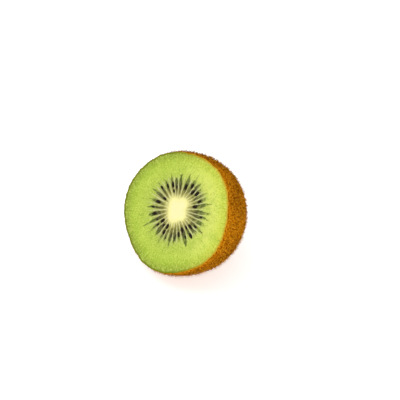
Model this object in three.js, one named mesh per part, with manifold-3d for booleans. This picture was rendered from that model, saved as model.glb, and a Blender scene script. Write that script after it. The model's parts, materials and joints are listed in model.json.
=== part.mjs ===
// Half of a kiwi fruit, cut across the middle and lying on its skin, in millimetres, +Z up.
// The origin is the centre of the small flat that the fruit rests on.
// The cut face looks towards -Y and up, and the hidden end points towards +Y and down.
import * as THREE from "three";
import { mergeVertices } from "three/addons/utils/BufferGeometryUtils.js";
import Module from "manifold-3d";

// Outside of the fruit: a body of revolution about the line from the cut to the hidden end
const faceRadius = 25;
const halfLength = 36;
const endBluntness = 2.1;
const sideFullness = 1.9;
const shoulderSwell = 0.23;

// How it lies: the cut face looks up by this angle, and the flat is pressed this deep
const faceTilt = THREE.MathUtils.degToRad(38);
const restDepth = 0.5;

// Skin, and the seam that lies between any two tissues
const skinThickness = 0.6;
const tissueSeam = 0.1;

// Core: a spindle, a little off the middle of the face, with soft corners made of a few waves
const coreRadius = 5.4;
const coreLength = 28;
const coreTaper = 2.4;
const coreOffset = { x: 0.1, z: 1.0 };
const coreWaves = [
  { count: 2, height: 0.065, turn: 96 },
  { count: 3, height: 0.045, turn: 41 },
  { count: 4, height: 0.065, turn: -19 },
  { count: 5, height: 0.055, turn: -12 },
];

// Seeds: each has the turn of its ray in degrees, and how far out it lies from the core's edge
const seedLength = 2.2;
const seedWidth = 1.2;
const seedThickness = 0.85;
const seedTaper = 0.35;
const seedSunk = 0.05;
const seedClearance = 0.08;
const seedPlaces = [
  [1, 4.6], [11, 7.3], [19.5, 5.4], [33.5, 3.7], [43, 5.5], [52, 3.5],
  [60.5, 4.8], [70.5, 3.8], [80.5, 5.8], [93.5, 4.6], [109.5, 3.7], [120, 3.8],
  [130.5, 2.0], [130.5, 4.7], [144.5, 5.0], [158, 6.2], [172, 2.4], [188, 4.8],
  [201.5, 6.8], [215.5, 6.2], [229.5, 5.4], [241.5, 2.8], [241.5, 5.5], [253.5, 3.0],
  [265.5, 2.0], [265, 4.7], [273.5, 6.3], [284, 4.5], [294.5, 5.9], [304.5, 5.2],
  [316, 3.8], [319.5, 7.0], [331, 7.4], [330.5, 3.5], [341, 4.2], [349.5, 5.9],
];

// Dry end: the scar of the stalk, with the dried sepals standing round it
const scarRadius = 2.2;
const scarHeight = 1.1;
const scarRoot = 1.1;
const scarRimInner = 1.2;
const scarRimOuter = 1.8;
const scarDish = 0.45;
const sepalCount = 5;
const sepalLength = 3.8;
const sepalWidth = 2.3;
const sepalThickness = 0.4;
const sepalLean = THREE.MathUtils.degToRad(38);
const sepalCurl = THREE.MathUtils.degToRad(75);
const endSeam = 0.15;

// How finely the round shapes are divided
const roundSteps = 48;
const profileSteps = 15;
const fineSteps = 400;
const coreSteps = 36;
const coreProfileSteps = 8;
const scarSteps = 16;
const seedRoundSteps = 8;
const seedLengthSteps = 5;
const sepalSteps = 8;
const overrun = 2;

const skinMaterial = new THREE.MeshStandardMaterial({ color: 0xb06a14, roughness: 0.9, metalness: 0 });
const fleshMaterial = new THREE.MeshStandardMaterial({ color: 0xb4cf5a, roughness: 0.35, metalness: 0 });
const coreMaterial = new THREE.MeshStandardMaterial({ color: 0xfbf5b4, roughness: 0.45, metalness: 0 });
const seedMaterial = new THREE.MeshStandardMaterial({ color: 0x15130c, roughness: 0.3, metalness: 0 });
const scarMaterial = new THREE.MeshStandardMaterial({ color: 0x4a3216, roughness: 0.95, metalness: 0 });
const sepalMaterial = new THREE.MeshStandardMaterial({ color: 0x33240f, roughness: 0.95, metalness: 0 });

const wasm = await Module();
wasm.setup();

// ---- Solids and geometries ----

function solidFrom(geometry) {
  const bare = geometry.clone();
  bare.deleteAttribute("normal");
  bare.deleteAttribute("uv");
  const merged = mergeVertices(bare);
  return new wasm.Manifold(
    new wasm.Mesh({
      numProp: 3,
      vertProperties: new Float32Array(merged.attributes.position.array),
      triVerts: new Uint32Array(merged.index.array),
    }),
  );
}

function geometryFrom(solid) {
  const mesh = solid.getMesh();
  const geometry = new THREE.BufferGeometry();
  geometry.setAttribute("position", new THREE.BufferAttribute(mesh.vertProperties, 3));
  geometry.setIndex(new THREE.BufferAttribute(mesh.triVerts, 1));
  const faceted = geometry.toNonIndexed();
  faceted.computeVertexNormals();
  return faceted;
}

// A solid of revolution about +Y from [radius, y] pairs that start and end on the axis, lowest first
function turnedSolid(profile, steps) {
  const points = profile.map(([radius, y]) => new THREE.Vector2(radius, y));
  return solidFrom(new THREE.LatheGeometry(points, steps));
}

// ---- Outside of the fruit: y runs from the cut face at 0 to the hidden end ----

// Radius of the fruit at y, with its outside moved in by inset
function fruitRadius(y, inset) {
  const t = y / (halfLength - inset);
  const rounded = (1 - t ** endBluntness) ** (1 / sideFullness);
  return (faceRadius - inset) * rounded * (1 + shoulderSwell * t * (1 - t));
}

// The fruit's outline from the rim of the cut to the end, with closer steps towards the end
function fruitOutline(inset, steps = profileSteps) {
  const outline = [];
  for (let i = 0; i < steps; i++) {
    const y = (halfLength - inset) * Math.sin((i / steps) * (Math.PI / 2));
    outline.push([fruitRadius(y, inset), y]);
  }
  outline.push([0, halfLength - inset]);
  return outline;
}

function fruitSolid(inset) {
  return turnedSolid([[0, 0], ...fruitOutline(inset)], roundSteps);
}

// The same solid carried on past the cut, to cut a clean opening there
function fruitCutter(inset) {
  const rim = faceRadius - inset;
  return turnedSolid([[0, -overrun], [rim, -overrun], ...fruitOutline(inset)], roundSteps);
}

// ---- The flat that it rests on ----

// How far a point of the outline lies below the middle of the cut face
function depthBelowFace([radius, y]) {
  return y * Math.sin(faceTilt) + radius * Math.cos(faceTilt);
}

const contact = fruitOutline(0, fineSteps).reduce((low, point) =>
  depthBelowFace(point) > depthBelowFace(low) ? point : low,
);
const faceHeight = depthBelowFace(contact) - restDepth;
const faceSetback = contact[1] * Math.cos(faceTilt) - contact[0] * Math.sin(faceTilt);

// A block whose upper side is level, so far above the floor, in the fruit's own directions
function floorBlock(height) {
  const side = 4 * halfLength;
  const block = new THREE.BoxGeometry(side, side, side);
  block.translate(0, faceSetback, height - faceHeight - side / 2);
  block.rotateX(faceTilt);
  return solidFrom(block);
}

// ---- Core ----

// How far out the core's edge lies at this turn, as a share of its mean radius
function coreEdge(turn) {
  return coreWaves.reduce(
    (sum, wave) => sum + wave.height * Math.cos(wave.count * (turn - THREE.MathUtils.degToRad(wave.turn))),
    1,
  );
}

// The core with its side moved out by grow, from the plane y = from
function coreSolid(grow, from) {
  const length = coreLength + grow;
  const profile = [[0, from]];
  for (let i = 0; i < coreProfileSteps; i++) {
    const along = Math.sin((i / coreProfileSteps) * (Math.PI / 2));
    profile.push([coreRadius * Math.sqrt(1 - along ** coreTaper) + grow, along * length]);
  }
  profile.push([0, length]);
  if (from < 0) profile.splice(1, 0, [coreRadius + grow, from]);
  const points = profile.map(([radius, y]) => new THREE.Vector2(radius, y));
  const geometry = new THREE.LatheGeometry(points, coreSteps);
  const places = geometry.attributes.position;
  for (let i = 0; i < places.count; i++) {
    const x = places.getX(i);
    const z = places.getZ(i);
    const edge = coreEdge(Math.atan2(z, x));
    places.setXYZ(i, x * edge + coreOffset.x, places.getY(i), z * edge + coreOffset.z);
  }
  return solidFrom(geometry);
}

// ---- Seeds ----

// The middle of a seed and its turn about the core's middle, on the cut face
function seedPlace([degrees, fromCore]) {
  const turn = THREE.MathUtils.degToRad(degrees);
  const distance = coreRadius * coreEdge(turn) + fromCore;
  const x = coreOffset.x + distance * Math.cos(turn);
  const z = coreOffset.z + distance * Math.sin(turn);
  return { x, y: seedSunk + seedThickness / 2, z, turn };
}

// A flat drop with its long side along +X and its blunt end outwards
function seedGeometry() {
  const drop = new THREE.SphereGeometry(1, seedRoundSteps, seedLengthSteps);
  drop.rotateZ(Math.PI / 2);
  const places = drop.attributes.position;
  for (let i = 0; i < places.count; i++) {
    const along = places.getX(i);
    const slim = 1 - (seedTaper * (1 - along)) / 2;
    places.setXYZ(i, along, places.getY(i) * slim, places.getZ(i) * slim);
  }
  drop.scale(seedLength / 2, seedThickness / 2, seedWidth / 2);
  return drop;
}

// The space a seed leaves: round below, with straight walls up to the cut
function pocketSolid(place) {
  const depth = seedThickness / 2 + seedClearance;
  const top = -place.y - overrun;
  const pocket = new THREE.LatheGeometry(
    [
      new THREE.Vector2(0, top),
      new THREE.Vector2(1, top),
      new THREE.Vector2(1, 0),
      new THREE.Vector2(Math.SQRT1_2, depth * Math.SQRT1_2),
      new THREE.Vector2(0, depth),
    ],
    seedRoundSteps,
  );
  const flatSide = Math.cos(Math.PI / seedRoundSteps);
  pocket.scale(
    (seedLength / 2 + seedClearance) / flatSide,
    1,
    (seedWidth / 2 + seedClearance) / flatSide,
  );
  pocket.rotateY(-place.turn);
  pocket.translate(place.x, place.y, place.z);
  return solidFrom(pocket);
}

// ---- Dry end ----

function scarSolid() {
  const root = halfLength - scarRoot;
  const top = halfLength + scarHeight;
  return turnedSolid(
    [
      [0, root],
      [scarRadius, root],
      [scarRadius, top - scarDish],
      [scarRimOuter, top],
      [scarRimInner, top],
      [0, top - scarDish],
    ],
    scarSteps,
  );
}

// A thin pointed leaf that starts at the edge of the scar, leans out and curls over
function sepalSolid(turn) {
  const leaf = new THREE.SphereGeometry(1, sepalSteps, sepalSteps);
  leaf.scale(sepalWidth / 2, sepalLength / 2, sepalThickness / 2);
  const places = leaf.attributes.position;
  for (let i = 0; i < places.count; i++) {
    const along = places.getY(i) / sepalLength + 0.5;
    const bend = sepalLean + sepalCurl * along;
    const reach = (Math.cos(sepalLean) - Math.cos(bend)) / sepalCurl;
    const rise = (Math.sin(bend) - Math.sin(sepalLean)) / sepalCurl;
    const across = places.getZ(i);
    places.setXYZ(
      i,
      places.getX(i),
      halfLength + sepalLength * rise - across * Math.sin(bend),
      scarRadius + sepalLength * reach + across * Math.cos(bend),
    );
  }
  leaf.rotateY(turn);
  return solidFrom(leaf);
}

// ---- The pieces ----

const skinInside = fruitCutter(skinThickness).subtract(floorBlock(skinThickness));
const skin = fruitSolid(0).subtract(floorBlock(0)).subtract(skinInside);

const fleshInset = skinThickness + tissueSeam;
const fleshWhole = fruitSolid(fleshInset).subtract(floorBlock(fleshInset));
const seeds = seedPlaces.map(seedPlace);
const pockets = seeds.map(pocketSolid);
const coreHole = coreSolid(tissueSeam, -overrun);
const flesh = pockets.reduce((rest, pocket) => rest.subtract(pocket), fleshWhole.subtract(coreHole));

const seat = fruitSolid(-endSeam);
const scar = scarSolid().subtract(seat);
const scarSpace = turnedSolid(
  [
    [0, 0],
    [scarRadius + endSeam, 0],
    [scarRadius + endSeam, 2 * halfLength],
    [0, 2 * halfLength],
  ],
  scarSteps,
);

const half = new THREE.Group();
half.rotation.x = -faceTilt;
half.position.set(0, -faceSetback, faceHeight);

function addPiece(name, geometry, material) {
  const mesh = new THREE.Mesh(geometry, material);
  mesh.name = name;
  half.add(mesh);
  return mesh;
}

addPiece("skin", geometryFrom(skin), skinMaterial);
addPiece("flesh", geometryFrom(flesh), fleshMaterial);
addPiece("core", geometryFrom(coreSolid(0, 0)), coreMaterial);
seeds.forEach((place, i) => {
  const seed = addPiece(`seed_${String(i + 1).padStart(2, "0")}`, seedGeometry(), seedMaterial);
  seed.position.set(place.x, place.y, place.z);
  seed.rotation.y = -place.turn;
});
addPiece("stem_scar", geometryFrom(scar), scarMaterial);
for (let i = 0; i < sepalCount; i++) {
  const turn = (i / sepalCount) * 2 * Math.PI;
  const sepal = sepalSolid(turn).subtract(seat).subtract(scarSpace);
  addPiece(`sepal_${i + 1}`, geometryFrom(sepal), sepalMaterial);
}

const kiwiHalf = new THREE.Group();
kiwiHalf.add(half);

export default kiwiHalf;
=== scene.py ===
import json
import math
import random

import bmesh
import bpy
import numpy as np
from mathutils import Matrix, Vector, noise


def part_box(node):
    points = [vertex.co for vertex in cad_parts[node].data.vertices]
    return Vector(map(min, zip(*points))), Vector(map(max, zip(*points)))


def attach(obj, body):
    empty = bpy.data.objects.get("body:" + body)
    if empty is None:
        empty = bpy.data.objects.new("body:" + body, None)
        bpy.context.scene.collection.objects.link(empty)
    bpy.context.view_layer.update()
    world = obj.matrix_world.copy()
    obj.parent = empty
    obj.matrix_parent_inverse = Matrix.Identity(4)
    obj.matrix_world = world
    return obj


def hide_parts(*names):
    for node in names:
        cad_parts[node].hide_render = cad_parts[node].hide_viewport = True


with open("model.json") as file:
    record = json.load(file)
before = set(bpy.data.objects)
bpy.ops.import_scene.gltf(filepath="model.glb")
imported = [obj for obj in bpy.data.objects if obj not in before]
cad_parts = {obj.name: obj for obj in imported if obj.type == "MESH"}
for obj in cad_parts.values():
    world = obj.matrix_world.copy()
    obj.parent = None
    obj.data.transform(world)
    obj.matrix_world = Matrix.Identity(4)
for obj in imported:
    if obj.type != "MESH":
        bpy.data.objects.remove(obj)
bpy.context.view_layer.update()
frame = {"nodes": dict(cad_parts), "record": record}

mm = 0.001


# ---- How the half lies ----
# The fruit lies on a small flat of its skin, with the cut tilted up. Its own directions are x across the
# cut, z up the cut, and y from the cut to the hidden dry end. All pieces are made in these directions.

mount_above_middle = 20 * mm

cut_mount = next(m for m in frame["record"]["mounts"] if m["name"] == "cut_face")
cut_normal = Vector(cut_mount["axis"])
cut_tilt = math.asin(cut_normal.z)
up_the_cut = Vector((0, math.sin(cut_tilt), math.cos(cut_tilt)))
cut_middle = Vector(cut_mount["pos_m"]) - mount_above_middle * up_the_cut
lay_down = Matrix.Translation(cut_middle) @ Matrix.Rotation(-cut_tilt, 4, "X")
stand_up = lay_down.inverted()


def node_points(node):
    """The points of a CAD node, in the fruit's own directions."""
    return np.array([stand_up @ v.co for v in frame["nodes"][node].data.vertices])


# ---- Camera, light and floor ----
# A long lens looks down on the half from its right. A broad soft lamp above and to the left lights it,
# with a weaker one on the right, over a pale floor.

lens_length = 100
sensor_width = 36
view_turn = math.radians(43)
view_height = math.radians(41)
frame_width = 162.4 * mm
aim_right = 10.0 * mm
aim_up = 4.6 * mm
sharp_distance = frame_width * lens_length / sensor_width

back = Vector((
    math.sin(view_turn) * math.cos(view_height),
    -math.cos(view_turn) * math.cos(view_height),
    math.sin(view_height),
))
camera_turn = back.to_track_quat("Z", "Y")
aim = cut_middle + camera_turn @ Vector((aim_right, aim_up, 0))
camera_data = bpy.data.cameras.new("camera")
camera_data.lens = lens_length
camera_data.sensor_width = sensor_width
camera_data.clip_start = 0.01
camera = bpy.data.objects.new("camera", camera_data)
camera.matrix_world = Matrix.Translation(aim + sharp_distance * back) @ camera_turn.to_matrix().to_4x4()
bpy.context.scene.collection.objects.link(camera)
bpy.context.scene.camera = camera
bpy.context.scene.view_settings.view_transform = "Standard"


def lamp(name, place, width, power, colour):
    """A square soft lamp at place, in metres from the fruit, that faces it."""
    data = bpy.data.lights.new(name, "AREA")
    data.size = width
    data.energy = power
    data.color = colour
    made = bpy.data.objects.new(name, data)
    aim_turn = Vector(place).to_track_quat("Z", "Y")
    made.matrix_world = Matrix.Translation(cut_middle + Vector(place)) @ aim_turn.to_matrix().to_4x4()
    bpy.context.scene.collection.objects.link(made)


lamp("key_lamp", place=(-0.40, -0.25, 0.95), width=0.9, power=4.5, colour=(1.0, 0.99, 0.97))
lamp("side_lamp", place=(0.85, -0.25, 0.45), width=0.6, power=3.0, colour=(1.0, 0.98, 0.94))

sky_strength = 0.57
sky = bpy.data.worlds.new("studio")
sky.use_nodes = True
sky.node_tree.nodes["Background"].inputs["Color"].default_value = (1.0, 1.0, 1.0, 1.0)
sky.node_tree.nodes["Background"].inputs["Strength"].default_value = sky_strength
bpy.context.scene.world = sky


def make(tree, kind, inputs=None, **settings):
    """A shader node with its settings, whose inputs are values or the sockets of other nodes."""
    made = tree.nodes.new(kind)
    for name, value in settings.items():
        setattr(made, name, value)
    for name, value in (inputs or {}).items():
        if isinstance(value, bpy.types.NodeSocket):
            tree.links.new(value, made.inputs[name])
        else:
            made.inputs[name].default_value = value
    return made


def linear(red, green, blue):
    """A colour given in 0 to 255, as the shader wants it."""
    parts = [((c / 255 + 0.055) / 1.055) ** 2.4 if c > 10 else c / 255 / 12.92 for c in (red, green, blue)]
    return (*parts, 1.0)


def material(name, **settings):
    """A material with its Principled shader, whose plain settings are set on the shader itself."""
    made = bpy.data.materials.new(name)
    made.use_nodes = True
    shader = made.node_tree.nodes["Principled BSDF"]
    for key, value in settings.items():
        shader.inputs[key.replace("_", " ").title().replace("Ior", "IOR")].default_value = value
    return made, made.node_tree, shader


def noise_of(tree, where, scale, detail=3.0, roughness=0.55):
    """Noise from 0 to 1 with so many waves in a metre."""
    made = make(tree, "ShaderNodeTexNoise", {"Vector": where, "Scale": scale, "Detail": detail})
    made.inputs["Roughness"].default_value = roughness
    return made.outputs["Fac"]


def spread(tree, value, low, high, to_low=0.0, to_high=1.0):
    """value stretched so that low to high becomes to_low to to_high, and held there."""
    inputs = {"Value": value, "From Min": low, "From Max": high, "To Min": to_low, "To Max": to_high}
    return make(tree, "ShaderNodeMapRange", inputs, interpolation_type="SMOOTHSTEP").outputs["Result"]


def worked_out(tree, operation, first, second=0.0):
    """One step of arithmetic on a value that changes over the surface."""
    return make(tree, "ShaderNodeMath", {0: first, 1: second}, operation=operation).outputs["Value"]


def blended(tree, share, first, second):
    """Two colours mixed by share."""
    made = make(tree, "ShaderNodeMix", data_type="RGBA")
    for socket, value in ((made.inputs[0], share), (made.inputs[6], first), (made.inputs[7], second)):
        if isinstance(value, bpy.types.NodeSocket):
            tree.links.new(value, socket)
        else:
            socket.default_value = value
    return made.outputs[2]


def new_group(name, inputs, outputs):
    """A shader node group with named inputs and outputs, each given with its kind of socket."""
    group = bpy.data.node_groups.new(name, "ShaderNodeTree")
    for in_out, sockets in (("INPUT", inputs), ("OUTPUT", outputs)):
        for socket, kind in sockets.items():
            group.interface.new_socket(socket, in_out=in_out, socket_type="NodeSocket" + kind)
    return group, group.nodes.new("NodeGroupInput").outputs, group.nodes.new("NodeGroupOutput").inputs


two_tone, given, wanted = new_group(
    "two_tone",
    {"Place": "Vector", "Waves": "Float", "Detail": "Float", "Low": "Float", "High": "Float",
     "Dark": "Color", "Light": "Color"},
    {"Color": "Color", "Height": "Float"},
)
grain = noise_of(two_tone, given["Place"], given["Waves"], given["Detail"])
two_tone.links.new(
    blended(two_tone, spread(two_tone, grain, given["Low"], given["High"]), given["Dark"], given["Light"]),
    wanted["Color"],
)
two_tone.links.new(grain, wanted["Height"])


def two_tones(tree, where, waves, dark, light, low=0.35, high=0.65, detail=3.0):
    """The outputs of a grain in two colours, with so many waves in a metre."""
    inputs = {
        "Place": where, "Waves": waves, "Detail": detail,
        "Low": low, "High": high, "Dark": dark, "Light": light,
    }
    return make(tree, "ShaderNodeGroup", inputs, node_tree=two_tone).outputs


floor_size = 4.0
floor_mesh = bpy.data.meshes.new("floor")
bm = bmesh.new()
bmesh.ops.create_grid(bm, x_segments=1, y_segments=1, size=floor_size / 2)
bm.to_mesh(floor_mesh)
bm.free()
floor = bpy.data.objects.new("floor", floor_mesh)
bpy.context.scene.collection.objects.link(floor)
floor_paint, tree, shader = material(
    "floor_paint", roughness=0.8, specular_ior_level=0.1,
    emission_color=(0.94, 0.98, 1, 1), emission_strength=0.5,
)
where = make(tree, "ShaderNodeTexCoord").outputs["Object"]
spots = two_tones(tree, where, 9, linear(246, 246, 245), linear(252, 252, 251), 0.0, 1.0)
tree.links.new(spots["Color"], shader.inputs["Base Color"])
floor_mesh.materials.append(floor_paint)


# ---- Skin ----
# The thin brown skin of the fruit: a dry, leathery layer, swollen a little behind the cut, blunt at the
# hidden end, pressed flat where it rests, and cut clean at the rim, where the pale side of it shows.

skin_thickness = 0.6 * mm
end_bluntness = 2.1
side_fullness = 1.9
shoulder_swell = 0.23
skin_turns = 480
skin_rings = 110
inner_rings = 14
floor_rounding = 0.3 * mm
swell_size = 0.3 * mm
swell_waves = 85
dent_size = 0.1 * mm
dent_waves = 330
lit_turn = math.radians(30)
crease = math.radians(50)
rim_waves = [
    # how many round the rim, how high, and the turn in degrees where a crest lies
    (0, 0.30 * mm, 0),
    (1, 0.38 * mm, -109),
    (2, 0.34 * mm, 25),
    (3, 0.26 * mm, 55),
    (4, 0.24 * mm, -10),
    (5, 0.29 * mm, -16),
]
rim_roughness = 0.22 * mm
body_lean = np.array((-0.6 * mm, 0, -0.4 * mm))
lean_depth = 12 * mm
waves_from = 8 * mm
waves_full = 22 * mm
waves_die = 1.5
near_cut = 0.05 * mm

skin_points = node_points("skin")
on_the_cut = abs(skin_points[:, 1]) < near_cut
cut_radius = np.hypot(skin_points[on_the_cut, 0], skin_points[on_the_cut, 2]).max()
half_length = skin_points[:, 1].max()


def outline(share, inset):
    """(radius, depth) on the fruit's outline, from the rim of the cut at 0 to the dry end at 1."""
    deep = math.sin(share * math.pi / 2)
    radius = (cut_radius - inset) * max(0.0, 1 - deep ** end_bluntness) ** (1 / side_fullness)
    return radius * (1 + shoulder_swell * deep * (1 - deep)), (half_length - inset) * deep


def outer_radius_at(depth):
    """How wide the fruit is, from its middle line, that deep behind the cut."""
    return outline(2 / math.pi * math.asin(min(1, depth / half_length)), 0)[0]


def turned(name, profile, turns):
    """A closed mesh turned about the fruit's middle line from (radius, depth) pairs."""
    bm = bmesh.new()
    verts = [bm.verts.new((radius, depth, 0)) for radius, depth in profile]
    edges = [bm.edges.new(pair) for pair in zip(verts, verts[1:])]
    bmesh.ops.spin(
        bm, geom=verts + edges, cent=(0, 0, 0), axis=(0, 1, 0), dvec=(0, 0, 0),
        angle=2 * math.pi, steps=turns, use_merge=True, use_duplicate=False,
    )
    bmesh.ops.remove_doubles(bm, verts=bm.verts, dist=0.0005 * mm)
    bmesh.ops.recalc_face_normals(bm, faces=bm.faces)
    mesh = bpy.data.meshes.new(name)
    bm.to_mesh(mesh)
    bm.free()
    return mesh


def points_of(mesh):
    """The mesh's points as rows of x, y and z."""
    flat = np.empty(len(mesh.vertices) * 3)
    mesh.vertices.foreach_get("co", flat)
    return flat.reshape(-1, 3)


def set_points(mesh, points):
    """Moves the mesh's points there, and shades it smooth but for its creases."""
    mesh.vertices.foreach_set("co", points.ravel())
    mesh.update()
    mesh.shade_smooth()
    mesh.set_sharp_from_angle(angle=crease)


def lumps(points, waves, seed=0.0):
    """Soft noise from -1 to 1 at each point, with so many waves in a metre."""
    return np.array([noise.noise(Vector(p) * waves + Vector((seed, seed, seed))) for p in points])


def smooth(values, low, high):
    """0 below low, 1 above high, and a smooth step between."""
    share = np.clip((values - low) / (high - low), 0, 1)
    return share * share * (3 - 2 * share)


def grown(points):
    """Points moved out or in with the slow waves of the fruit's outline, which die out at the dry end."""
    turns = np.arctan2(points[:, 2], points[:, 0])
    waves = sum(height * np.cos(count * (turns - math.radians(at))) for count, height, at in rim_waves)
    around = np.stack([np.cos(turns), np.sin(turns), np.zeros(len(turns))], axis=1)
    waves = waves + rim_roughness * (lumps(around, 9, 2) + lumps(around, 26, 3) + 0.7 * lumps(around, 60, 4))
    reach = np.hypot(points[:, 0], points[:, 2])
    fade = (1 - np.clip(points[:, 1] / half_length, 0, 1)) ** waves_die
    more = 1 + waves / cut_radius * fade * smooth(reach, waves_from, waves_full)
    lean = np.outer(smooth(points[:, 1], 0, lean_depth), body_lean)
    return points * np.stack([more, np.ones(len(points)), more], axis=1) + lean


def mark(mesh, name, values):
    """A number for each point of the mesh, which its material reads."""
    mesh.attributes.new(name, "FLOAT", "POINT").data.foreach_set("value", values.astype(np.float32))


def mark_place(mesh, points):
    """How far out each point lies on the cut, and how far towards the side that the materials paint as lit.
    """
    mark(mesh, "reach", np.hypot(points[:, 0], points[:, 2]) / cut_radius)
    side = points[:, 0] * math.cos(lit_turn) + points[:, 2] * math.sin(lit_turn)
    mark(mesh, "side", side / cut_radius)


def keep_off_floor(points, height):
    """Points in the fruit's directions, pressed up to at least that height over the floor."""
    laid = points @ np.array(lay_down.to_3x3()).T + np.array(lay_down.translation)
    over = laid[:, 2] - height
    laid[:, 2] = height + (over + np.sqrt(over ** 2 + floor_rounding ** 2)) / 2
    return laid @ np.array(stand_up.to_3x3()).T + np.array(stand_up.translation)


def finished(name, mesh, paint, replaced):
    """The piece itself: laid down, painted, and standing for its CAD nodes."""
    mesh.transform(lay_down)
    mesh.materials.append(paint)
    piece = bpy.data.objects.new(name, mesh)
    bpy.context.scene.collection.objects.link(piece)
    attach(piece, "root")
    if replaced:
        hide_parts(*replaced)
    return piece


outside = [outline(i / skin_rings, 0) for i in range(skin_rings + 1)]
inside = [outline(i / inner_rings, skin_thickness) for i in range(inner_rings, -1, -1)]
skin_mesh = turned("kiwi_skin", inside + outside, skin_turns)
points = points_of(skin_mesh)
mark_place(skin_mesh, points)
radii = np.hypot(points[:, 0], points[:, 2])
is_outside = radii > np.array([outer_radius_at(depth) for depth in points[:, 1]]) - skin_thickness / 4
away = points - np.array((0, half_length / 3, 0))
away /= np.linalg.norm(away, axis=1)[:, None]
rise = swell_size * lumps(points, swell_waves) + dent_size * lumps(points, dent_waves, 7)
rise *= smooth(points[:, 1], 0, 2 * mm)
points = grown(points + away * (rise * is_outside)[:, None])
points = keep_off_floor(points, np.where(is_outside, 0.0, skin_thickness))
set_points(skin_mesh, points)
mark(skin_mesh, "cut", 1 - smooth(points[:, 1], 0.02 * mm, 0.1 * mm))


def value_of(tree, name):
    """The number that mark has put on the mesh under that name."""
    return make(tree, "ShaderNodeAttribute", attribute_name=name).outputs["Fac"]


def ramp(tree, value, stops):
    """A colour that changes with value through (place, colour) stops."""
    made = make(tree, "ShaderNodeValToRGB", {"Fac": value})
    made.color_ramp.elements.remove(made.color_ramp.elements[1])
    made.color_ramp.elements[0].position, made.color_ramp.elements[0].color = stops[0]
    for place, colour in stops[1:]:
        made.color_ramp.elements.new(place).color = colour
    return made.outputs["Color"]


# The flesh's colour from the core outwards, as a shaded copy and a lit copy blended across the cut by the
# side mark: painted shade, darkest by the rim, on one side, and painted light, with a yellow glow by the rim,
# on the other.
flesh_tone_and_light, given, wanted = new_group("flesh_tone_and_light", {"Reach": "Float", "Side": "Float"}, {"Color": "Color"})
shaded_flesh = ramp(flesh_tone_and_light, given["Reach"], [
    (0.30, linear(170, 187, 86)),
    (0.62, linear(177, 198, 74)),
    (0.74, linear(180, 204, 70)),
    (0.84, linear(165, 192, 56)),
    (0.92, linear(140, 162, 42)),
    (0.96, linear(132, 152, 38)),
    (0.975, linear(124, 136, 34)),
])
lit_flesh = ramp(flesh_tone_and_light, given["Reach"], [
    (0.30, linear(200, 203, 107)),
    (0.62, linear(210, 218, 106)),
    (0.74, linear(222, 230, 112)),
    (0.84, linear(214, 224, 92)),
    (0.92, linear(200, 210, 66)),
    (0.965, linear(202, 200, 62)),
    (0.98, linear(200, 172, 52)),
])
lit_and_shaded_tone = blended(flesh_tone_and_light, spread(flesh_tone_and_light, given["Side"], -0.12, 0.8), shaded_flesh, lit_flesh)
flesh_tone_and_light.links.new(lit_and_shaded_tone, wanted["Color"])


def flesh_tone_and_light_of(tree):
    """The colour of the flesh, which changes from the core outwards, with painted light on its lit side and
    painted shade on the other.
    """
    inputs = {"Reach": value_of(tree, "reach"), "Side": value_of(tree, "side")}
    return make(tree, "ShaderNodeGroup", inputs, node_tree=flesh_tone_and_light).outputs["Color"]


def tinted(tree, colour, tints):
    """The colour with tints over it, each laid on by a pattern that it follows from faint to full."""
    for pattern, faint, full, strength, tint in tints:
        colour = blended(tree, spread(tree, pattern, faint, full, 0, strength), colour, tint)
    return colour


tuft_waves = 1300
tuft_dark = linear(120, 66, 3)
tuft_light = linear(228, 160, 36)
skin_paint, tree, shader = material("skin", roughness=0.95, specular_ior_level=0.0)
where = make(tree, "ShaderNodeTexCoord").outputs["Object"]
broad = noise_of(tree, where, 110, 3)
patches = noise_of(tree, where, 420, 4)
grain = noise_of(tree, where, 2600, 3, 0.7)
tufts = two_tones(tree, where, tuft_waves, tuft_dark, tuft_light, detail=2)["Height"]
dots = make(tree, "ShaderNodeTexVoronoi", {"Vector": where, "Scale": 420.0}).outputs["Distance"]
colour = blended(tree, spread(tree, broad, 0.35, 0.65), linear(172, 98, 4), linear(196, 118, 6))
colour = tinted(tree, colour, [
    (patches, 0.45, 0.70, 0.60, linear(146, 82, 3)),
    (tufts, 0.50, 0.64, 0.65, tuft_light),
    (tufts, 0.48, 0.34, 0.75, tuft_dark),
    (grain, 0.52, 0.72, 0.60, linear(222, 152, 30)),
    (grain, 0.47, 0.30, 0.90, linear(112, 58, 2)),
    (dots, 0.26, 0.14, 0.45, linear(98, 50, 8)),
])
# The cut rim of the skin takes the flesh's colour, with its painted light and shade.
uneven = worked_out(tree, "ADD", value_of(tree, "reach"), worked_out(tree, "MULTIPLY", patches, 0.02))
cut_edge = blended(tree, spread(tree, uneven, 1.003, 1.013), flesh_tone_and_light_of(tree), colour)
colour = blended(tree, value_of(tree, "cut"), colour, cut_edge)
tree.links.new(colour, shader.inputs["Base Color"])
height = worked_out(tree, "ADD", grain, patches)
bump = make(tree, "ShaderNodeBump", {"Height": height, "Strength": 0.7, "Distance": 0.15 * mm})
tree.links.new(bump.outputs["Normal"], shader.inputs["Normal"])
finished("kiwi_skin", skin_mesh, skin_paint, ["skin"])


# ---- Hairs of the skin ----
# Short stiff golden-brown hairs all over the skin, lying close to it. Each one is a thin three-sided
# taper that grows out of the skin and bends down over it.

hair_coats = [
    # how many, shortest, longest, width, least and most lean from upright
    (12000, 0.5 * mm, 1.4 * mm, 0.06 * mm, 0.5, 1.35),
    (12000, 0.6 * mm, 1.7 * mm, 0.06 * mm, 0.4, 1.25),
    (5000, 1.1 * mm, 2.3 * mm, 0.10 * mm, 0.2, 1.0),
]
hair_root = 0.15 * mm
hair_bend = 0.3
hair_swing = 0.9
share_that_points_back = 0.7
thinnest = 0.7
thickest = 1.3
short_hair_rim = 4 * mm
rim_length = 0.3
slope_step = 0.002
over_floor = 0.1 * mm
behind_cut = 0.2 * mm
golden_turn = math.pi * (3 - math.sqrt(5))

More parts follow.
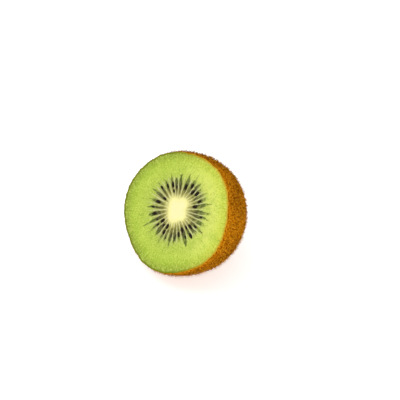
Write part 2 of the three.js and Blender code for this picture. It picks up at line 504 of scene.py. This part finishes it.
bm = bmesh.new()
bmesh.ops.create_cone(bm, cap_ends=True, segments=3, radius1=1, radius2=0.75, depth=0.5)
bmesh.ops.translate(bm, verts=bm.verts, vec=(0, 0, 0.25))
top = max(bm.faces, key=lambda face: face.calc_center_median().z)
tip = bmesh.ops.extrude_face_region(bm, geom=[top])
tip_verts = [v for v in tip["geom"] if isinstance(v, bmesh.types.BMVert)]
bmesh.ops.delete(bm, geom=[top], context="FACES_ONLY")
bmesh.ops.translate(bm, verts=tip_verts, vec=(0, 0, 0.5))
bmesh.ops.pointmerge(bm, verts=tip_verts, merge_co=(0, 0, 1))
bmesh.ops.recalc_face_normals(bm, faces=bm.faces)
hair_mesh = bpy.data.meshes.new("one_hair")
bm.to_mesh(hair_mesh)
bm.free()
one_hair = points_of(hair_mesh)

strip_count = 400
strip_ends = [outline(i / strip_count, 0) for i in range(strip_count + 1)]
strip_areas = np.array([
    (a[0] + b[0]) * math.hypot(b[0] - a[0], b[1] - a[1]) for a, b in zip(strip_ends, strip_ends[1:])
])
area_share = np.concatenate(([0], np.cumsum(strip_areas))) / strip_areas.sum()
chance = random.Random(11)


def hair_at(share, turn, shortest, longest, hair_width, least_lean, most_lean):
    """The points of one hair that grows at that share of the skin's area and that turn."""
    at = np.interp(share, area_share, np.linspace(0, 1, strip_count + 1))
    here = outline(at, 0)
    ahead = outline(min(1, at + slope_step), 0)
    behind = outline(max(0, at - slope_step), 0)
    slope = Vector((ahead[0] - behind[0], ahead[1] - behind[1])).normalized()
    around = Vector((math.cos(turn), 0, math.sin(turn)))
    normal = (around * slope.y + Vector((0, -slope.x, 0))).normalized()
    along = (around * slope.x + Vector((0, slope.y, 0))).normalized()
    swing = chance.gauss(0, hair_swing) + (0 if chance.random() < share_that_points_back else math.pi)
    flow = along * math.cos(swing) + normal.cross(along) * math.sin(swing)
    lean = chance.uniform(least_lean, most_lean)
    up = (normal * math.cos(lean) + flow * math.sin(lean)).normalized()
    over = (up * up.dot(normal) - normal).normalized()
    length = chance.uniform(shortest, longest)
    length *= rim_length + (1 - rim_length) * min(1, here[1] / short_hair_rim)
    width = hair_width * chance.uniform(thinnest, thickest)
    root = around * here[0] + Vector((0, here[1], 0)) - normal * hair_root
    bend = hair_bend * math.sin(lean) * length
    points = np.array(root) + np.outer(one_hair[:, 0] * width, np.array(up.cross(over)))
    points += np.outer(one_hair[:, 1] * width + bend * one_hair[:, 2] ** 2, np.array(over))
    points += np.outer(one_hair[:, 2] * length, np.array(up))
    return grown(points)


def copies_of_hair(name, count):
    """A mesh of so many copies of the one hair, doubled until there are enough, then cut back."""
    bm = bmesh.new()
    bm.from_mesh(hair_mesh)
    while len(bm.verts) < count * len(one_hair):
        bmesh.ops.duplicate(bm, geom=bm.verts[:] + bm.edges[:] + bm.faces[:])
    bmesh.ops.delete(bm, geom=bm.verts[:][count * len(one_hair):], context="VERTS")
    mesh = bpy.data.meshes.new(name)
    bm.to_mesh(mesh)
    bm.free()
    return mesh


hair_paint, tree, shader = material("skin_hair", roughness=0.9, specular_ior_level=0.0)
where = make(tree, "ShaderNodeTexCoord").outputs["Object"]
tufts = two_tones(tree, where, tuft_waves, tuft_dark, tuft_light, 0.41, 0.59, 2)
tree.links.new(tufts["Color"], shader.inputs["Base Color"])

for coat, (hair_count, *kind) in enumerate(hair_coats):
    # golden turns spread the hairs evenly; one that would touch the floor or pass the cut is left out
    hairs = []
    for i in range(hair_count):
        hair = hair_at((i + chance.random()) / hair_count, i * golden_turn + coat, *kind)
        lowest = min((lay_down @ Vector(point)).z for point in hair)
        if lowest > over_floor and hair[:, 1].min() > behind_cut:
            hairs.append(hair)
    coat_mesh = copies_of_hair(f"kiwi_hairs_{coat + 1}", len(hairs))
    coat_mesh.vertices.foreach_set("co", np.concatenate(hairs).ravel())
    coat_mesh.shade_smooth()
    finished(f"kiwi_hairs_{coat + 1}", coat_mesh, hair_paint, [])


# ---- Flesh ----
# The green flesh, cut clean across. Round the core lie soft dark hollows like rays, each between two thin
# pale walls, where the seeds lie; outside them the flesh is even and finely fibred.

core_length = 28 * mm
core_taper = 2.4
core_waves = [
    # how many round the core, how high as a share of its radius, and the turn in degrees of a crest
    (2, 0.065, 96),
    (3, 0.045, 41),
    (4, 0.065, -19),
    (5, 0.055, -12),
]
seam = 0.02 * mm
seed_count = 36
seed_length = 2.2 * mm
seed_width = 1.2 * mm
seed_bared = [
    # how far the knife has bared each seed
    0.3, 0.45, 0.3, 0.95, 0.7, 0.3, 1.0, 1.0, 0.95, 1.0, 0.35, 0.45,
    0.5, 1.0, 0.7, 0.6, 0.6, 1.0, 0.45, 0.85, 0.4, 1.0, 0.5, 0.45,
    1.0, 0.95, 0.35, 0.3, 0.4, 0.9, 1.0, 0.5, 1.0, 0.55, 1.0, 0.55,
]
flesh_turns = 720
face_rings = 92
side_rings = 12
hole_rings = 8


def core_edge(turn):
    """How far the core's edge lies from its middle at that turn, as a share of its mean radius."""
    return 1 + sum(height * np.cos(count * (turn - math.radians(at))) for count, height, at in core_waves)


core_points = node_points("core")
core_middle = core_points[core_points[:, 1].argmax()]
from_middle = core_points[abs(core_points[:, 1]) < near_cut] - core_middle
core_reach = np.hypot(from_middle[:, 0], from_middle[:, 2])
core_turns = np.arctan2(from_middle[:, 2], from_middle[:, 0])
on_the_edge = core_reach > 3 * mm
core_radius = (core_reach / core_edge(core_turns))[on_the_edge].mean()

seed_names = [f"seed_{i + 1:02d}" for i in range(seed_count)]
seed_middles = []
for name in seed_names:
    low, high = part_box(name)
    seed_middles.append(np.array(stand_up @ ((low + high) / 2)))
seed_middles = np.array(seed_middles)
seed_turns = np.arctan2(seed_middles[:, 2] - core_middle[2], seed_middles[:, 0] - core_middle[0])

# seeds that lie one behind the other share a ray
ray_join = math.radians(5)
ray_rows = []
for turn in sorted(seed_turns % (2 * math.pi)):
    if ray_rows and turn - ray_rows[-1][-1] < ray_join:
        ray_rows[-1].append(turn)
    else:
        ray_rows.append([turn])
ray_turns = np.array([sum(row) / len(row) for row in ray_rows])
ray_gaps = (np.roll(ray_turns, -1) - ray_turns) % (2 * math.pi)

pale_inset = 0.2 * mm
pale_shift = 0.45 * mm
ray_width = 0.95 * mm
ray_start = 0.35
ray_growth = 2.2 * mm
ray_softness = 0.14 * mm
ray_raggedness = 2.2 * mm
ray_widest = 11.6 * mm
ray_bluntness = 0.45
shortest_ray = 13.2 * mm
longest_ray = 16.6 * mm
hollow_depth = 0.2 * mm
wall_height = 0.05 * mm
wall_width = 0.15 * mm
wall_room = 0.12 * mm
wall_fades = 12 * mm
wall_ends = 15.5 * mm
pocket_depth = 0.62 * mm
rough_height = 0.03 * mm
fine_height = 0.02 * mm
rim_sink = 0.1 * mm
rim_sink_width = 1 * mm
chance = random.Random(5)
ray_ends = np.array([chance.uniform(shortest_ray, longest_ray) for _ in ray_turns])
ray_widths = ray_width * np.array([chance.uniform(0.55, 1.15) for _ in ray_turns])
ray_shades = np.array([chance.uniform(0.6, 1.15) for _ in ray_turns])


def cut_marks(points):
    """For points on the cut: how deep in a hollow, how dark, how near a wall or seed, and past the core."""
    x = points[:, 0] - core_middle[0]
    z = points[:, 2] - core_middle[2]
    reach = np.hypot(x, z)
    turn = np.arctan2(z, x) + lumps(points, 260, 3) * 0.02 + lumps(points, 900, 9) * 0.014
    around = np.stack([np.cos(turn), np.sin(turn), reach * 8], axis=1)
    ragged = lumps(around * (1, 1, 0), 40, 4) * ray_raggedness
    streak = (1 + 0.7 * lumps(around, 55, 6)) * (1 + 0.9 * lumps(points, 800, 12))
    broken = np.clip(0.8 + 1.3 * lumps(points, 900, 15), 0.15, 1)
    edge = core_radius * core_edge(turn)
    hollow = np.zeros(len(points))
    wall = np.zeros(len(points))
    shade = np.zeros(len(points))
    for k, ray_turn in enumerate(ray_turns):
        off = (turn - ray_turn + math.pi) % (2 * math.pi) - math.pi
        half_gap = np.where(off > 0, ray_gaps[k], ray_gaps[k - 1]) / 2
        mine = np.abs(off) <= half_gap
        grow = ray_start + (1 - ray_start) * smooth(reach, edge, edge + ray_growth)
        fade = np.clip((ray_ends[k] + ragged - reach) / (ray_ends[k] - ray_widest), 0, 1) ** ray_bluntness
        half = np.minimum(ray_widths[k] * grow * fade, half_gap * reach - wall_room)
        off = np.abs(off) * reach
        inside_ray = 1 - smooth(off, half - ray_softness, half + ray_softness)
        inside_ray *= smooth(half, 0.02 * mm, 0.15 * mm) * mine
        hollow = np.maximum(hollow, inside_ray)
        deep = np.clip(1 - (off / np.maximum(half, 0.05 * mm)) ** 2, 0, 1)
        shade = np.maximum(shade, inside_ray * ray_shades[k] * (0.65 + 0.35 * deep) * streak)
        to_wall = half_gap * reach - off
        line = np.exp(-((to_wall / wall_width) ** 2)) * mine
        line *= broken * smooth(reach, edge - 1 * mm, edge + 0.5 * mm)
        line *= 1 - smooth(reach, wall_fades, wall_ends)
        wall = np.maximum(wall, line)
    outside_core = smooth(reach, edge - 0.9 * mm, edge + 0.8 * mm)
    hollow *= outside_core
    shade *= outside_core * (1 - 0.35 * smooth(reach, 11 * mm, 15.5 * mm))
    pocket = np.zeros(len(points))
    for k, middle in enumerate(seed_middles):
        radial = np.array((math.cos(seed_turns[k]), math.sin(seed_turns[k])))
        apart = points[:, [0, 2]] - middle[[0, 2]]
        along = apart @ radial
        across = apart @ np.array((-radial[1], radial[0]))
        far = np.hypot(along / (seed_length / 2), across / (seed_width / 2))
        bared = 0.6 + 0.5 * seed_bared[k]
        pocket = np.maximum(pocket, (1 - smooth(far, 0.8 * bared, 1.25 * bared)) * seed_bared[k] ** 0.7)
    return {
        "hollow": hollow, "shade": np.clip(shade, 0, 1), "wall": wall, "pocket": pocket,
        "past_core": (reach - edge + pale_inset - pale_shift * np.cos(turn)) / (10 * mm),
    }


def cut_depth(points, marks):
    """How far the cut lies below its plane: the hollows sink, the walls stand, the rest is slightly rough."""
    rough = lumps(points, 900, 2) * rough_height + lumps(points, 2200, 4) * fine_height
    depth = hollow_depth * marks["hollow"] * smooth(marks["past_core"], 0, 0.2)
    depth = depth - wall_height * marks["wall"] - rough
    return np.maximum(depth, pocket_depth * marks["pocket"])


face_profile = [(core_radius + (cut_radius - skin_thickness - seam - core_radius) * i / face_rings, 0)
                for i in range(face_rings + 1)]
hole = [
    (core_radius * math.sqrt(max(0, 1 - math.sin(i / hole_rings * math.pi / 2) ** core_taper)),
     core_length * math.sin(i / hole_rings * math.pi / 2))
    for i in range(hole_rings, 0, -1)
]
side = [outline(i / side_rings, skin_thickness + seam) for i in range(1, side_rings + 1)]
flesh_mesh = turned("kiwi_flesh", hole + face_profile + side, flesh_turns)
points = points_of(flesh_mesh)
radii = np.hypot(points[:, 0], points[:, 2])
turns = np.arctan2(points[:, 2], points[:, 0])
on_face = abs(points[:, 1]) < 0.001 * mm
in_hole = ~on_face & (radii <= core_radius) & (points[:, 1] <= core_length * 1.0001)
in_hole &= radii < 0.6 * np.array([outer_radius_at(depth) for depth in points[:, 1]])
outer_radius = cut_radius - skin_thickness - seam
share = np.clip((radii - core_radius) / (outer_radius - core_radius), 0, 1)
pull = np.where(on_face, 1 - share, np.where(in_hole, 1.0, 0.0))
weaker = np.where(on_face, core_radius / np.maximum(radii, core_radius), 1)
stretched = 1 + (core_edge(turns) - 1) * pull * weaker
points[:, 0] = points[:, 0] * stretched + core_middle[0] * pull
points[:, 2] = points[:, 2] * stretched + core_middle[2] * pull
marks = cut_marks(points)
depth = cut_depth(points, marks)
to_rim = outer_radius - np.hypot(points[:, 0], points[:, 2])
depth += rim_sink * (1 - smooth(to_rim, 0, rim_sink_width))
points[:, 1] += np.where(on_face, depth * smooth(share, -0.001, 0.02), 0)
mark_place(flesh_mesh, points)
points = grown(points)
points = np.where(on_face[:, None], points, keep_off_floor(points, skin_thickness + seam))
set_points(flesh_mesh, points)
for name, values in marks.items():
    mark(flesh_mesh, name, values)

fibres_around = 34.0
fibres_outward = 260.0
cell_shape = (1.25, 1.25, 4.2)

pulp, given, wanted = new_group(
    "pulp",
    {"Place": "Vector", "Tone And Light": "Color", "Hollow": "Float", "Shade": "Float", "Wall": "Float",
     "Pocket": "Float", "Past Core": "Float"},
    {"Color": "Color", "Height": "Float"},
)
parts = make(pulp, "ShaderNodeSeparateXYZ", {"Vector": given["Place"]})
turn = worked_out(pulp, "ARCTAN2", parts.outputs["Z"], parts.outputs["X"])
squares = [worked_out(pulp, "MULTIPLY", parts.outputs[axis], parts.outputs[axis]) for axis in ("X", "Z")]
reach = worked_out(pulp, "SQRT", worked_out(pulp, "ADD", *squares))
around = make(pulp, "ShaderNodeCombineXYZ", {
    "X": worked_out(pulp, "MULTIPLY", worked_out(pulp, "COSINE", turn), fibres_around),
    "Y": worked_out(pulp, "MULTIPLY", worked_out(pulp, "SINE", turn), fibres_around),
    "Z": worked_out(pulp, "MULTIPLY", reach, fibres_outward),
}).outputs["Vector"]
fibre = noise_of(pulp, around, 1.6, 3, 0.6)
mottle = noise_of(pulp, given["Place"], 260, 4)
grit = noise_of(pulp, given["Place"], 1500, 3, 0.7)
# Pale specks: partly the flesh's own pale cells, partly painted glints of its wet surface.
cells = make(pulp, "ShaderNodeVectorMath", {0: around, 1: cell_shape}, operation="MULTIPLY").outputs["Vector"]
cells = make(pulp, "ShaderNodeTexVoronoi", {"Vector": cells, "Scale": 1.0}).outputs["Distance"]
specks_and_glints = worked_out(pulp, "MULTIPLY", spread(pulp, cells, 0.42, 0.1), spread(pulp, grit, 0.38, 0.6))
ragged = worked_out(pulp, "MULTIPLY", worked_out(pulp, "SUBTRACT", fibre, 0.5), 0.32)
past = worked_out(pulp, "ADD", given["Past Core"], ragged)
off_core = spread(pulp, past, 0.25, 0.6)
colour = tinted(pulp, given["Tone And Light"], [
    (mottle, 0.48, 0.68, 0.50, linear(158, 186, 54)),
    (mottle, 0.46, 0.30, 0.40, linear(206, 222, 94)),
    (fibre, 0.50, 0.70, 0.55, linear(206, 222, 102)),
    (fibre, 0.48, 0.30, 0.50, linear(140, 166, 42)),
    (grit, 0.51, 0.64, 0.60, linear(214, 227, 104)),
    (grit, 0.47, 0.34, 0.55, linear(132, 160, 40)),
])
speck_and_glint_share = worked_out(pulp, "MULTIPLY", specks_and_glints, worked_out(pulp, "MULTIPLY", off_core, 0.42))
colour = blended(pulp, speck_and_glint_share, colour, linear(224, 232, 120))
around_core = ramp(pulp, spread(pulp, past, 0, 1), [
    (0.0, linear(226, 222, 138)),
    (0.1, linear(190, 188, 100)),
    (0.3, linear(166, 168, 84)),
    (0.6, linear(164, 176, 80)),
])
around_core = blended(pulp, spread(pulp, mottle, 0.42, 0.62, 0, 0.55), around_core, linear(180, 174, 116))
colour = blended(pulp, spread(pulp, past, 0.95, 0.6), colour, around_core)
dark = ramp(pulp, spread(pulp, past, 0, 1), [
    (0.0, linear(172, 166, 90)),
    (0.15, linear(116, 112, 46)),
    (0.35, linear(78, 77, 28)),
    (0.6, linear(64, 67, 24)),
    (0.9, linear(84, 102, 30)),
])
colour = blended(pulp, spread(pulp, given["Shade"], 0.1, 0.85, 0, 0.95), colour, dark)
streaks = worked_out(pulp, "MULTIPLY", given["Hollow"], spread(pulp, fibre, 0.5, 0.68, 0, 0.5))
colour = blended(pulp, streaks, colour, linear(166, 164, 100))
colour = blended(pulp, worked_out(pulp, "MULTIPLY", given["Wall"], 0.9), colour, linear(224, 222, 172))
heart = ramp(pulp, spread(pulp, past, -0.25, 0.05), [
    (0.0, linear(255, 243, 181)),
    (0.45, linear(253, 242, 168)),
    (0.75, linear(246, 240, 158)),
    (1.0, linear(226, 222, 138)),
])
colour = blended(pulp, spread(pulp, past, 0.08, -0.05), colour, heart)
colour = blended(pulp, spread(pulp, given["Pocket"], 0.05, 0.9, 0, 0.92), colour, linear(40, 36, 14))
pulp.links.new(colour, wanted["Color"])
height = worked_out(pulp, "ADD", fibre, worked_out(pulp, "MULTIPLY", specks_and_glints, 0.4))
pulp.links.new(height, wanted["Height"])


def pulp_material(name):
    """The moist cut tissue, whose colours follow the marks on its mesh."""
    paint, tree, shader = material(
        name, roughness=0.38, specular_ior_level=0.25, subsurface_weight=0.1, subsurface_scale=1.5 * mm,
    )
    shader.inputs["Subsurface Radius"].default_value = (0.8, 1.0, 0.3)
    where = make(tree, "ShaderNodeTexCoord").outputs["Object"]
    middle = lay_down @ Vector(core_middle * (1, 0, 1))
    place = make(
        tree, "ShaderNodeMapping", {"Vector": where, "Location": middle, "Rotation": (-cut_tilt, 0, 0)},
        vector_type="TEXTURE",
    )
    inputs = {"Place": place.outputs["Vector"], "Tone And Light": flesh_tone_and_light_of(tree)}
    for socket in ("Hollow", "Shade", "Wall", "Pocket", "Past Core"):
        inputs[socket] = value_of(tree, socket.lower().replace(" ", "_"))
    used = make(tree, "ShaderNodeGroup", inputs, node_tree=pulp)
    tree.links.new(used.outputs["Color"], shader.inputs["Base Color"])
    bump = make(tree, "ShaderNodeBump", {"Height": used.outputs["Height"], "Strength": 0.5})
    bump.inputs["Distance"].default_value = 0.1 * mm
    tree.links.new(bump.outputs["Normal"], shader.inputs["Normal"])
    return paint


finished("kiwi_flesh", flesh_mesh, pulp_material("flesh"), ["flesh"])


# ---- Core ----
# The pale woody middle of the fruit, firm and cream white, a spindle that runs from the cut towards the
# dry end. Its edge is soft, where the walls of the flesh start.

core_turn_steps = 360
core_face_rings = 36
core_seam = 0.002 * mm
core_swell = 0.05 * mm
core_grain = 0.02 * mm

face_profile = [(core_radius * i / core_face_rings, 0) for i in range(core_face_rings + 1)]
core_mesh = turned("kiwi_core", face_profile + list(reversed(hole)), core_turn_steps)
points = points_of(core_mesh)
on_face = abs(points[:, 1]) < 0.001 * mm
stretched = core_edge(np.arctan2(points[:, 2], points[:, 0]))
inset = 1 - core_seam / core_radius
points[:, 0] = points[:, 0] * stretched * inset + core_middle[0]
points[:, 2] = points[:, 2] * stretched * inset + core_middle[2]
marks = cut_marks(points)
rise = lumps(points, 500, 6) * core_swell + lumps(points, 1500, 8) * core_grain
points[:, 1] -= np.where(on_face, rise * (1 - smooth(marks["past_core"], -0.15, -0.01)), 0)
set_points(core_mesh, points)
mark_place(core_mesh, points)
for name, values in marks.items():
    mark(core_mesh, name, values)
finished("kiwi_core", core_mesh, pulp_material("core"), ["core"])


# ---- Seeds ----
# Small flat black drops, smooth and hard, each bedded in its own pocket of the flesh with the pointed
# end towards the core. The knife bares some of them and leaves others half covered.

seed_thickness = 0.85 * mm
seed_taper = 0.4
seed_segments = 20
seed_bands = 14
seed_sunk = 0.3 * mm
smallest_seed = 0.92
largest_seed = 1.04
seed_swing = 0.07
seed_tip = 0.08

seed_paint, tree, shader = material("seed", roughness=0.3, specular_ior_level=0.16)
where = make(tree, "ShaderNodeTexCoord").outputs["Object"]
pits = two_tones(tree, where, 3800, linear(22, 14, 4), linear(56, 40, 12), 0.45, 0.75, 2)
tree.links.new(pits["Color"], shader.inputs["Base Color"])
bump = make(tree, "ShaderNodeBump", {"Height": pits["Height"], "Strength": 0.25, "Distance": 0.04 * mm})
tree.links.new(bump.outputs["Normal"], shader.inputs["Normal"])

chance = random.Random(9)
for name, middle, turn, bared in zip(seed_names, seed_middles, seed_turns, seed_bared):
    bm = bmesh.new()
    bmesh.ops.create_uvsphere(bm, u_segments=seed_segments, v_segments=seed_bands, radius=1)
    bmesh.ops.rotate(bm, verts=bm.verts, cent=(0, 0, 0), matrix=Matrix.Rotation(math.pi / 2, 3, "Y"))
    for v in bm.verts:
        slim = 1 - seed_taper * ((1 - v.co.x) / 2) ** 1.5
        v.co.y *= slim
        v.co.z *= slim
    size = chance.uniform(smallest_seed, largest_seed)
    half_sizes = (seed_length / 2 * size, seed_thickness / 2 * size, seed_width / 2 * size)
    bmesh.ops.scale(bm, verts=bm.verts, vec=half_sizes)
    turned_to = Matrix.Rotation(-turn + chance.gauss(0, seed_swing), 3, "Y")
    tipped = Matrix.Rotation(chance.gauss(0, seed_tip), 3, "Z")
    bmesh.ops.rotate(bm, verts=bm.verts, cent=(0, 0, 0), matrix=turned_to @ tipped)
    bmesh.ops.translate(bm, verts=bm.verts, vec=middle + np.array((0, seed_sunk * (1 - bared), 0)))
    mesh = bpy.data.meshes.new(f"kiwi_{name}")
    bm.to_mesh(mesh)
    bm.free()
    mesh.shade_smooth()
    finished(f"kiwi_{name}", mesh, seed_paint, [name])


# ---- Stem scar ----
# The dry round scar at the hidden end, where the stalk broke off. It is a low woody ring with a hollow
# round its middle.

scar_turns = 96
scar_swell = 0.16 * mm
scar_grain = 0.1 * mm
scar_section = [
    # how far out and how high, as shares of the scar's radius and height
    (1.0, 0.3), (0.98, 0.62), (0.92, 0.88), (0.84, 0.99), (0.76, 1.0), (0.68, 0.9), (0.6, 0.66),
    (0.5, 0.45), (0.38, 0.38), (0.26, 0.46), (0.16, 0.62), (0.08, 0.7), (0.0, 0.72),
]

scar_points = node_points("stem_scar")
scar_radius = np.hypot(scar_points[:, 0], scar_points[:, 2]).max()
scar_top = scar_points[:, 1].max()
scar_foot = half_length - 0.3 * mm
scar_profile = [(0, scar_foot), (scar_radius * 0.98, scar_foot)]
scar_profile += [(scar_radius * out, scar_foot + (scar_top - scar_foot) * up) for out, up in scar_section]
mesh = turned("kiwi_stem_scar", scar_profile, scar_turns)
points = points_of(mesh)
out = points / np.maximum(np.linalg.norm(points, axis=1), 1e-9)[:, None]
points += out * (lumps(points, 1500, 5) * scar_swell + lumps(points, 4000, 1) * scar_grain)[:, None]
set_points(mesh, points)
scar_paint, tree, shader = material("stem_scar", roughness=0.95, specular_ior_level=0.03)
where = make(tree, "ShaderNodeTexCoord").outputs["Object"]
grain = two_tones(tree, where, 2200, linear(58, 32, 8), linear(150, 104, 46), detail=5)
tree.links.new(grain["Color"], shader.inputs["Base Color"])
bump = make(tree, "ShaderNodeBump", {"Height": grain["Height"], "Strength": 0.8, "Distance": 0.15 * mm})
tree.links.new(bump.outputs["Normal"], shader.inputs["Normal"])
finished("kiwi_stem_scar", mesh, scar_paint, ["stem_scar"])


# ---- Sepals ----
# Five dried sepals round the scar: thin, brittle, dark brown leaves that lean out and curl over, with a
# wavy edge and a rib along the middle.

sepal_count = 5
sepal_ring = 2.2 * mm
sepal_length = 3.8 * mm
sepal_width = 2.3 * mm
sepal_thickness = 0.22 * mm
sepal_lean = math.radians(38)
sepal_curl = math.radians(75)
sepal_sunk = 0.05 * mm
rib_height = 0.16 * mm
rib_width = 0.18
edge_wave = 0.2 * mm
edge_droop = 0.45 * mm
torn_share = 0.16

sepal_paint, tree, shader = material("sepal", roughness=0.9, specular_ior_level=0.03)
where = make(tree, "ShaderNodeTexCoord").outputs["Object"]
grain = two_tones(tree, where, 2600, linear(64, 36, 10), linear(152, 106, 48), detail=5)
tree.links.new(grain["Color"], shader.inputs["Base Color"])
bump = make(tree, "ShaderNodeBump", {"Height": grain["Height"], "Strength": 0.8, "Distance": 0.12 * mm})
tree.links.new(bump.outputs["Normal"], shader.inputs["Normal"])

chance = random.Random(21)
for k in range(sepal_count):
    bm = bmesh.new()
    bmesh.ops.create_grid(bm, x_segments=16, y_segments=28, size=1)
    extra = chance.uniform(-0.25, 0.35)
    for v in bm.verts:
        along = (v.co.y + 1) / 2
        torn = 1 + torn_share * noise.noise(Vector((3 * along, 5 * k, math.copysign(2, v.co.x))) * 1.7)
        half = sepal_width / 2 * (0.8 + 0.7 * along) * max(0.0, 1 - along ** 1.8) ** 0.6 * torn
        rib = rib_height * math.exp(-((v.co.x / rib_width) ** 2)) * (1 - along)
        wave = (edge_wave * math.sin(8 * along + 2 * k) - edge_droop * along) * v.co.x ** 2 + rib
        bend = sepal_lean + (sepal_curl + extra) * along
        reach = (math.cos(sepal_lean) - math.cos(bend)) / (sepal_curl + extra)
        climb = (math.sin(bend) - math.sin(sepal_lean)) / (sepal_curl + extra)
        v.co = (
            v.co.x * half,
            half_length - sepal_sunk + sepal_length * climb + wave * math.sin(bend),
            sepal_ring + sepal_length * reach - wave * math.cos(bend),
        )
    bmesh.ops.remove_doubles(bm, verts=bm.verts, dist=0.01 * mm)
    bmesh.ops.recalc_face_normals(bm, faces=bm.faces)
    bmesh.ops.solidify(bm, geom=bm.faces, thickness=sepal_thickness)
    bmesh.ops.recalc_face_normals(bm, faces=bm.faces)
    turn = k / sepal_count * 2 * math.pi
    bmesh.ops.rotate(bm, verts=bm.verts, cent=(0, 0, 0), matrix=Matrix.Rotation(turn, 3, "Y"))
    mesh = bpy.data.meshes.new(f"kiwi_sepal_{k + 1}")
    bm.to_mesh(mesh)
    bm.free()
    mesh.shade_smooth()
    finished(f"kiwi_sepal_{k + 1}", mesh, sepal_paint, [f"sepal_{k + 1}"])
